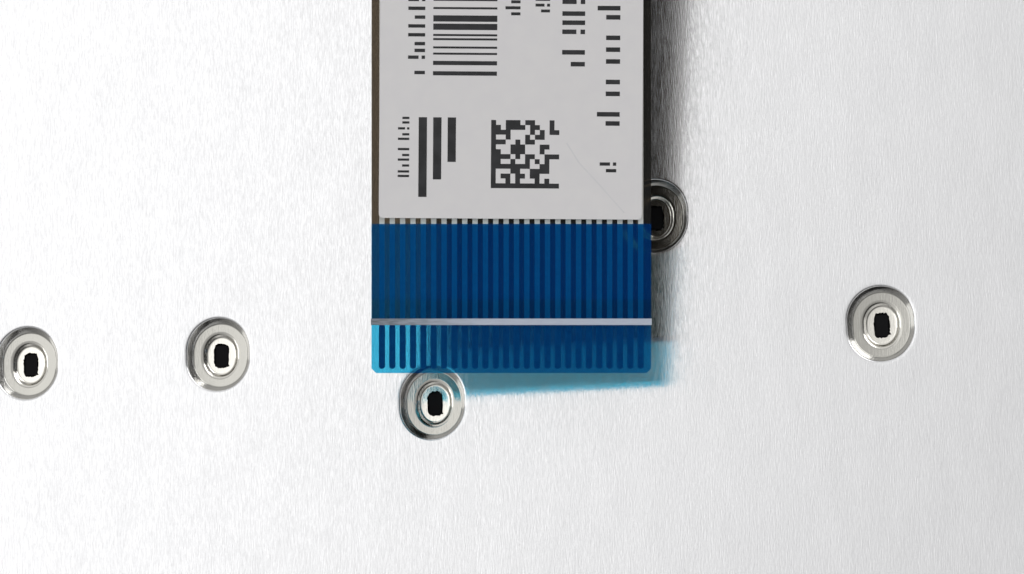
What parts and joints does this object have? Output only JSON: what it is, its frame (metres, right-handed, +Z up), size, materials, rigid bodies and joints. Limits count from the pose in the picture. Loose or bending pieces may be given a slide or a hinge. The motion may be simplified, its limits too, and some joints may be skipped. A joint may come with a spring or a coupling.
{
  "type": "laptop replacement keyboard",
  "caption": "Bare laptop keyboard lying face down: stamped metal back plate with stepped recesses, black key housing and a flat ribbon tail with a blue contact end.",
  "frame": {"origin": "middle of the outline, on the surface that the key tops rest on", "axes": "+X along the keyboard's length, +Y towards the function-key edge, +Z up out of the metal back plate"},
  "size_m": [0.291, 0.1226, 0.023],
  "materials": {
    "plate_metal": "brushed sheet",
    "circuit_film": "tinted polyester film",
    "spacer_film": "clear polyester film",
    "housing_plastic": "moulded, fine texture",
    "keycap_plastic": "moulded, matt",
    "dome_rubber": "silicone",
    "lever_plastic": "moulded acetal",
    "stiffener_film": "tinted polyester film",
    "label_paper": "coated paper",
    "contact_ink": "printed carbon over silver",
    "spring_wire": "drawn wire"
  },
  "bodies": {
    "keyboard_base": {"back_plate": "plate_metal", "lower_circuit_film": "circuit_film", "spacer_film": "spacer_film", "upper_circuit_film": "circuit_film", "switch_housing": "housing_plastic", "rubber_domes": "dome_rubber", "outer_levers": "lever_plastic", "inner_levers": "lever_plastic", "tail_stiffener": "stiffener_film", "tail_label": "label_paper", "contact_pads": "contact_ink"},
    "space_bar_wire": {"space_bar_wire": "spring_wire"},
    "key_grave": {"key_grave": "keycap_plastic"},
    "key_1": {"key_1": "keycap_plastic"},
    "key_2": {"key_2": "keycap_plastic"},
    "key_3": {"key_3": "keycap_plastic"},
    "key_4": {"key_4": "keycap_plastic"},
    "key_5": {"key_5": "keycap_plastic"},
    "key_6": {"key_6": "keycap_plastic"},
    "key_7": {"key_7": "keycap_plastic"},
    "key_8": {"key_8": "keycap_plastic"},
    "key_9": {"key_9": "keycap_plastic"},
    "key_0": {"key_0": "keycap_plastic"},
    "key_minus": {"key_minus": "keycap_plastic"},
    "key_equals": {"key_equals": "keycap_plastic"},
    "key_q": {"key_q": "keycap_plastic"},
    "key_w": {"key_w": "keycap_plastic"},
    "key_e": {"key_e": "keycap_plastic"},
    "key_r": {"key_r": "keycap_plastic"},
    "key_t": {"key_t": "keycap_plastic"},
    "key_y": {"key_y": "keycap_plastic"},
    "key_u": {"key_u": "keycap_plastic"},
    "key_i": {"key_i": "keycap_plastic"},
    "key_o": {"key_o": "keycap_plastic"},
    "key_p": {"key_p": "keycap_plastic"},
    "key_left_bracket": {"key_left_bracket": "keycap_plastic"},
    "key_right_bracket": {"key_right_bracket": "keycap_plastic"},
    "key_backslash": {"key_backslash": "keycap_plastic"},
    "key_a": {"key_a": "keycap_plastic"},
    "key_s": {"key_s": "keycap_plastic"},
    "key_d": {"key_d": "keycap_plastic"},
    "key_f": {"key_f": "keycap_plastic"},
    "key_g": {"key_g": "keycap_plastic"},
    "key_h": {"key_h": "keycap_plastic"},
    "key_j": {"key_j": "keycap_plastic"},
    "key_k": {"key_k": "keycap_plastic"},
    "key_l": {"key_l": "keycap_plastic"},
    "key_semicolon": {"key_semicolon": "keycap_plastic"},
    "key_quote": {"key_quote": "keycap_plastic"},
    "key_z": {"key_z": "keycap_plastic"},
    "key_x": {"key_x": "keycap_plastic"},
    "key_c": {"key_c": "keycap_plastic"},
    "key_v": {"key_v": "keycap_plastic"},
    "key_b": {"key_b": "keycap_plastic"},
    "key_n": {"key_n": "keycap_plastic"},
    "key_m": {"key_m": "keycap_plastic"},
    "key_comma": {"key_comma": "keycap_plastic"},
    "key_period": {"key_period": "keycap_plastic"},
    "key_slash": {"key_slash": "keycap_plastic"},
    "space_bar": {"space_bar": "keycap_plastic"}
  },
  "joints": [
    {"name": "key_grave_press", "type": "slide", "parent": "keyboard_base", "child": "key_grave", "axis": [0, 0, 1], "range_m": [0, 0.002], "stiffness_N_per_m": 250, "deforming": ["rubber_domes", "outer_levers", "inner_levers"]},
    {"name": "key_1_press", "type": "slide", "parent": "keyboard_base", "child": "key_1", "axis": [0, 0, 1], "range_m": [0, 0.002], "stiffness_N_per_m": 250, "deforming": ["rubber_domes", "outer_levers", "inner_levers"]},
    {"name": "key_2_press", "type": "slide", "parent": "keyboard_base", "child": "key_2", "axis": [0, 0, 1], "range_m": [0, 0.002], "stiffness_N_per_m": 250, "deforming": ["rubber_domes", "outer_levers", "inner_levers"]},
    {"name": "key_3_press", "type": "slide", "parent": "keyboard_base", "child": "key_3", "axis": [0, 0, 1], "range_m": [0, 0.002], "stiffness_N_per_m": 250, "deforming": ["rubber_domes", "outer_levers", "inner_levers"]},
    {"name": "key_4_press", "type": "slide", "parent": "keyboard_base", "child": "key_4", "axis": [0, 0, 1], "range_m": [0, 0.002], "stiffness_N_per_m": 250, "deforming": ["rubber_domes", "outer_levers", "inner_levers"]},
    {"name": "key_5_press", "type": "slide", "parent": "keyboard_base", "child": "key_5", "axis": [0, 0, 1], "range_m": [0, 0.002], "stiffness_N_per_m": 250, "deforming": ["rubber_domes", "outer_levers", "inner_levers"]},
    {"name": "key_6_press", "type": "slide", "parent": "keyboard_base", "child": "key_6", "axis": [0, 0, 1], "range_m": [0, 0.002], "stiffness_N_per_m": 250, "deforming": ["rubber_domes", "outer_levers", "inner_levers"]},
    {"name": "key_7_press", "type": "slide", "parent": "keyboard_base", "child": "key_7", "axis": [0, 0, 1], "range_m": [0, 0.002], "stiffness_N_per_m": 250, "deforming": ["rubber_domes", "outer_levers", "inner_levers"]},
    {"name": "key_8_press", "type": "slide", "parent": "keyboard_base", "child": "key_8", "axis": [0, 0, 1], "range_m": [0, 0.002], "stiffness_N_per_m": 250, "deforming": ["rubber_domes", "outer_levers", "inner_levers"]},
    {"name": "key_9_press", "type": "slide", "parent": "keyboard_base", "child": "key_9", "axis": [0, 0, 1], "range_m": [0, 0.002], "stiffness_N_per_m": 250, "deforming": ["rubber_domes", "outer_levers", "inner_levers"]},
    {"name": "key_0_press", "type": "slide", "parent": "keyboard_base", "child": "key_0", "axis": [0, 0, 1], "range_m": [0, 0.002], "stiffness_N_per_m": 250, "deforming": ["rubber_domes", "outer_levers", "inner_levers"]},
    {"name": "key_minus_press", "type": "slide", "parent": "keyboard_base", "child": "key_minus", "axis": [0, 0, 1], "range_m": [0, 0.002], "stiffness_N_per_m": 250, "deforming": ["rubber_domes", "outer_levers", "inner_levers"]},
    {"name": "key_equals_press", "type": "slide", "parent": "keyboard_base", "child": "key_equals", "axis": [0, 0, 1], "range_m": [0, 0.002], "stiffness_N_per_m": 250, "deforming": ["rubber_domes", "outer_levers", "inner_levers"]},
    {"name": "key_q_press", "type": "slide", "parent": "keyboard_base", "child": "key_q", "axis": [0, 0, 1], "range_m": [0, 0.002], "stiffness_N_per_m": 250, "deforming": ["rubber_domes", "outer_levers", "inner_levers"]},
    {"name": "key_w_press", "type": "slide", "parent": "keyboard_base", "child": "key_w", "axis": [0, 0, 1], "range_m": [0, 0.002], "stiffness_N_per_m": 250, "deforming": ["rubber_domes", "outer_levers", "inner_levers"]},
    {"name": "key_e_press", "type": "slide", "parent": "keyboard_base", "child": "key_e", "axis": [0, 0, 1], "range_m": [0, 0.002], "stiffness_N_per_m": 250, "deforming": ["rubber_domes", "outer_levers", "inner_levers"]},
    {"name": "key_r_press", "type": "slide", "parent": "keyboard_base", "child": "key_r", "axis": [0, 0, 1], "range_m": [0, 0.002], "stiffness_N_per_m": 250, "deforming": ["rubber_domes", "outer_levers", "inner_levers"]},
    {"name": "key_t_press", "type": "slide", "parent": "keyboard_base", "child": "key_t", "axis": [0, 0, 1], "range_m": [0, 0.002], "stiffness_N_per_m": 250, "deforming": ["rubber_domes", "outer_levers", "inner_levers"]},
    {"name": "key_y_press", "type": "slide", "parent": "keyboard_base", "child": "key_y", "axis": [0, 0, 1], "range_m": [0, 0.002], "stiffness_N_per_m": 250, "deforming": ["rubber_domes", "outer_levers", "inner_levers"]},
    {"name": "key_u_press", "type": "slide", "parent": "keyboard_base", "child": "key_u", "axis": [0, 0, 1], "range_m": [0, 0.002], "stiffness_N_per_m": 250, "deforming": ["rubber_domes", "outer_levers", "inner_levers"]},
    {"name": "key_i_press", "type": "slide", "parent": "keyboard_base", "child": "key_i", "axis": [0, 0, 1], "range_m": [0, 0.002], "stiffness_N_per_m": 250, "deforming": ["rubber_domes", "outer_levers", "inner_levers"]},
    {"name": "key_o_press", "type": "slide", "parent": "keyboard_base", "child": "key_o", "axis": [0, 0, 1], "range_m": [0, 0.002], "stiffness_N_per_m": 250, "deforming": ["rubber_domes", "outer_levers", "inner_levers"]},
    {"name": "key_p_press", "type": "slide", "parent": "keyboard_base", "child": "key_p", "axis": [0, 0, 1], "range_m": [0, 0.002], "stiffness_N_per_m": 250, "deforming": ["rubber_domes", "outer_levers", "inner_levers"]},
    {"name": "key_left_bracket_press", "type": "slide", "parent": "keyboard_base", "child": "key_left_bracket", "axis": [0, 0, 1], "range_m": [0, 0.002], "stiffness_N_per_m": 250, "deforming": ["rubber_domes", "outer_levers", "inner_levers"]},
    {"name": "key_right_bracket_press", "type": "slide", "parent": "keyboard_base", "child": "key_right_bracket", "axis": [0, 0, 1], "range_m": [0, 0.002], "stiffness_N_per_m": 250, "deforming": ["rubber_domes", "outer_levers", "inner_levers"]},
    {"name": "key_backslash_press", "type": "slide", "parent": "keyboard_base", "child": "key_backslash", "axis": [0, 0, 1], "range_m": [0, 0.002], "stiffness_N_per_m": 250, "deforming": ["rubber_domes", "outer_levers", "inner_levers"]},
    {"name": "key_a_press", "type": "slide", "parent": "keyboard_base", "child": "key_a", "axis": [0, 0, 1], "range_m": [0, 0.002], "stiffness_N_per_m": 250, "deforming": ["rubber_domes", "outer_levers", "inner_levers"]},
    {"name": "key_s_press", "type": "slide", "parent": "keyboard_base", "child": "key_s", "axis": [0, 0, 1], "range_m": [0, 0.002], "stiffness_N_per_m": 250, "deforming": ["rubber_domes", "outer_levers", "inner_levers"]},
    {"name": "key_d_press", "type": "slide", "parent": "keyboard_base", "child": "key_d", "axis": [0, 0, 1], "range_m": [0, 0.002], "stiffness_N_per_m": 250, "deforming": ["rubber_domes", "outer_levers", "inner_levers"]},
    {"name": "key_f_press", "type": "slide", "parent": "keyboard_base", "child": "key_f", "axis": [0, 0, 1], "range_m": [0, 0.002], "stiffness_N_per_m": 250, "deforming": ["rubber_domes", "outer_levers", "inner_levers"]},
    {"name": "key_g_press", "type": "slide", "parent": "keyboard_base", "child": "key_g", "axis": [0, 0, 1], "range_m": [0, 0.002], "stiffness_N_per_m": 250, "deforming": ["rubber_domes", "outer_levers", "inner_levers"]},
    {"name": "key_h_press", "type": "slide", "parent": "keyboard_base", "child": "key_h", "axis": [0, 0, 1], "range_m": [0, 0.002], "stiffness_N_per_m": 250, "deforming": ["rubber_domes", "outer_levers", "inner_levers"]},
    {"name": "key_j_press", "type": "slide", "parent": "keyboard_base", "child": "key_j", "axis": [0, 0, 1], "range_m": [0, 0.002], "stiffness_N_per_m": 250, "deforming": ["rubber_domes", "outer_levers", "inner_levers"]},
    {"name": "key_k_press", "type": "slide", "parent": "keyboard_base", "child": "key_k", "axis": [0, 0, 1], "range_m": [0, 0.002], "stiffness_N_per_m": 250, "deforming": ["rubber_domes", "outer_levers", "inner_levers"]},
    {"name": "key_l_press", "type": "slide", "parent": "keyboard_base", "child": "key_l", "axis": [0, 0, 1], "range_m": [0, 0.002], "stiffness_N_per_m": 250, "deforming": ["rubber_domes", "outer_levers", "inner_levers"]},
    {"name": "key_semicolon_press", "type": "slide", "parent": "keyboard_base", "child": "key_semicolon", "axis": [0, 0, 1], "range_m": [0, 0.002], "stiffness_N_per_m": 250, "deforming": ["rubber_domes", "outer_levers", "inner_levers"]},
    {"name": "key_quote_press", "type": "slide", "parent": "keyboard_base", "child": "key_quote", "axis": [0, 0, 1], "range_m": [0, 0.002], "stiffness_N_per_m": 250, "deforming": ["rubber_domes", "outer_levers", "inner_levers"]},
    {"name": "key_z_press", "type": "slide", "parent": "keyboard_base", "child": "key_z", "axis": [0, 0, 1], "range_m": [0, 0.002], "stiffness_N_per_m": 250, "deforming": ["rubber_domes", "outer_levers", "inner_levers"]},
    {"name": "key_x_press", "type": "slide", "parent": "keyboard_base", "child": "key_x", "axis": [0, 0, 1], "range_m": [0, 0.002], "stiffness_N_per_m": 250, "deforming": ["rubber_domes", "outer_levers", "inner_levers"]},
    {"name": "key_c_press", "type": "slide", "parent": "keyboard_base", "child": "key_c", "axis": [0, 0, 1], "range_m": [0, 0.002], "stiffness_N_per_m": 250, "deforming": ["rubber_domes", "outer_levers", "inner_levers"]},
    {"name": "key_v_press", "type": "slide", "parent": "keyboard_base", "child": "key_v", "axis": [0, 0, 1], "range_m": [0, 0.002], "stiffness_N_per_m": 250, "deforming": ["rubber_domes", "outer_levers", "inner_levers"]},
    {"name": "key_b_press", "type": "slide", "parent": "keyboard_base", "child": "key_b", "axis": [0, 0, 1], "range_m": [0, 0.002], "stiffness_N_per_m": 250, "deforming": ["rubber_domes", "outer_levers", "inner_levers"]},
    {"name": "key_n_press", "type": "slide", "parent": "keyboard_base", "child": "key_n", "axis": [0, 0, 1], "range_m": [0, 0.002], "stiffness_N_per_m": 250, "deforming": ["rubber_domes", "outer_levers", "inner_levers"]},
    {"name": "key_m_press", "type": "slide", "parent": "keyboard_base", "child": "key_m", "axis": [0, 0, 1], "range_m": [0, 0.002], "stiffness_N_per_m": 250, "deforming": ["rubber_domes", "outer_levers", "inner_levers"]},
    {"name": "key_comma_press", "type": "slide", "parent": "keyboard_base", "child": "key_comma", "axis": [0, 0, 1], "range_m": [0, 0.002], "stiffness_N_per_m": 250, "deforming": ["rubber_domes", "outer_levers", "inner_levers"]},
    {"name": "key_period_press", "type": "slide", "parent": "keyboard_base", "child": "key_period", "axis": [0, 0, 1], "range_m": [0, 0.002], "stiffness_N_per_m": 250, "deforming": ["rubber_domes", "outer_levers", "inner_levers"]},
    {"name": "key_slash_press", "type": "slide", "parent": "keyboard_base", "child": "key_slash", "axis": [0, 0, 1], "range_m": [0, 0.002], "stiffness_N_per_m": 250, "deforming": ["rubber_domes", "outer_levers", "inner_levers"]},
    {"name": "space_bar_press", "type": "slide", "parent": "keyboard_base", "child": "space_bar", "axis": [0, 0, 1], "range_m": [0, 0.002], "stiffness_N_per_m": 250, "deforming": ["rubber_domes", "outer_levers", "inner_levers"]},
    {"name": "space_bar_wire_swing", "type": "hinge", "parent": "keyboard_base", "child": "space_bar_wire", "pos_m": [0.019, -0.04099, 0.0037], "axis": [-1, 0, 0], "range_deg": [0, 14.6]}
  ],
  "couplings": [
    {"joint": "space_bar_wire_swing", "follows": "space_bar_press", "rad_per_m": 126}
  ]
}
